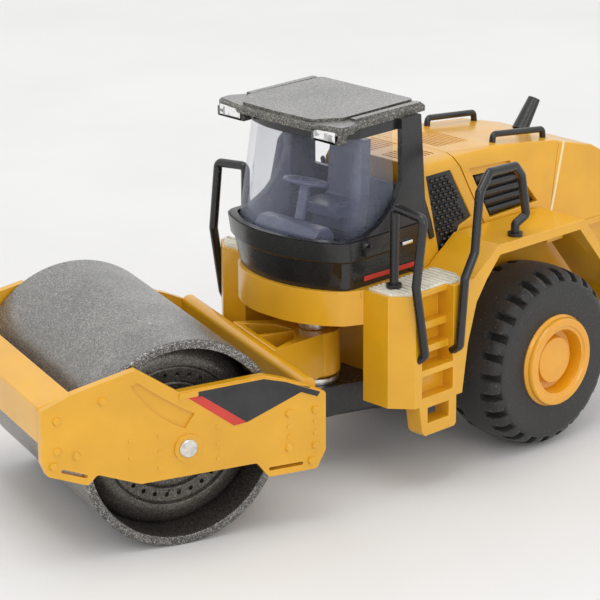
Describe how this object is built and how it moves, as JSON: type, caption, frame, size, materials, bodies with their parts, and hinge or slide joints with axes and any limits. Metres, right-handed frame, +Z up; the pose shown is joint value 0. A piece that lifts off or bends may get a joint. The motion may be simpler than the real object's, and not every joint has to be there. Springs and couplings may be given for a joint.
{
  "type": "toy road roller",
  "caption": "Toy road roller with a steering pivot between its two frames, a turning drum, a glazed cab and turning rear wheels.",
  "frame": {"origin": "on the ground under the middle of the footprint in the steered rest pose", "axes": "+X is forward for the rear machine, +Y its left side, +Z up"},
  "size_m": [0.1354, 0.0678, 0.0629],
  "materials": {
    "yellow_paint": "satin warm yellow enamel",
    "grey_flake_paint": "dark grey paint with metallic flake",
    "tyre_rubber": "matt black rubber",
    "black_plastic": "satin black plastic",
    "clear_plastic": "clear moulded plastic, slightly blue",
    "red_plastic": "gloss",
    "chrome": "polished",
    "white_paint": "white paint over ribs",
    "steel": "plain turned steel"
  },
  "bodies": {
    "rear_machine": {"body_casting": "yellow_paint", "cab_base": "black_plastic", "cab_frame": "black_plastic", "cab_glass": "clear_plastic", "chassis": "black_plastic", "chassis_screws": "steel", "dashboard": "black_plastic", "exhaust_pipe": "black_plastic", "hood_front": "yellow_paint", "hood_middle": "yellow_paint", "hood_rear": "yellow_paint", "left_cover_strip": "black_plastic", "left_door_handle": "chrome", "left_door_hinge": "chrome", "left_front_handrail": "black_plastic", "left_hood_rail": "black_plastic", "left_louvre_panel": "black_plastic", "left_mesh_panel": "black_plastic", "left_rear_handrail": "black_plastic", "left_roof_lamp": "clear_plastic", "left_tread_mat": "white_paint", "pivot_screw": "steel", "pivot_washer": "steel", "rear_bumper": "black_plastic", "rear_grille": "black_plastic", "right_cover_strip": "black_plastic", "right_door_handle": "chrome", "right_door_hinge": "chrome", "right_front_handrail": "black_plastic", "right_hood_rail": "black_plastic", "right_louvre_panel": "black_plastic", "right_mesh_panel": "black_plastic", "right_rear_handrail": "black_plastic", "right_roof_lamp": "clear_plastic", "right_tread_mat": "white_paint", "roof": "grey_flake_paint", "seat": "black_plastic", "steering_column": "black_plastic", "steering_wheel": "black_plastic", "tail_lamps": "red_plastic"},
    "drum_frame": {"left_side_plate": "yellow_paint", "right_side_plate": "yellow_paint", "front_beam": "yellow_paint", "cross_bar": "yellow_paint", "yoke": "yellow_paint", "frame_screws": "steel", "drum_axle": "steel"},
    "drum": {"drum_shell": "grey_flake_paint", "left_drum_end": "grey_flake_paint", "right_drum_end": "grey_flake_paint", "left_drum_bush": "black_plastic", "right_drum_bush": "black_plastic"},
    "wheel_axle": {"rear_axle": "steel", "left_tyre": "tyre_rubber", "right_tyre": "tyre_rubber", "left_rim": "yellow_paint", "right_rim": "yellow_paint"}
  },
  "joints": [
    {"name": "steering", "type": "hinge", "parent": "rear_machine", "child": "drum_frame", "pos_m": [0.0046, 0.00856, 0.02], "axis": [0, 0, 1], "range_deg": [-5, 43]},
    {"name": "drum_spin", "type": "hinge", "parent": "drum_frame", "child": "drum", "pos_m": [0.03675, -0.00251, 0.017], "axis": [0.3256, 0.9455, 0], "continuous": true},
    {"name": "wheel_spin", "type": "hinge", "parent": "rear_machine", "child": "wheel_axle", "pos_m": [-0.0294, 0.00856, 0.0155], "axis": [0, 1, 0], "continuous": true}
  ]
}
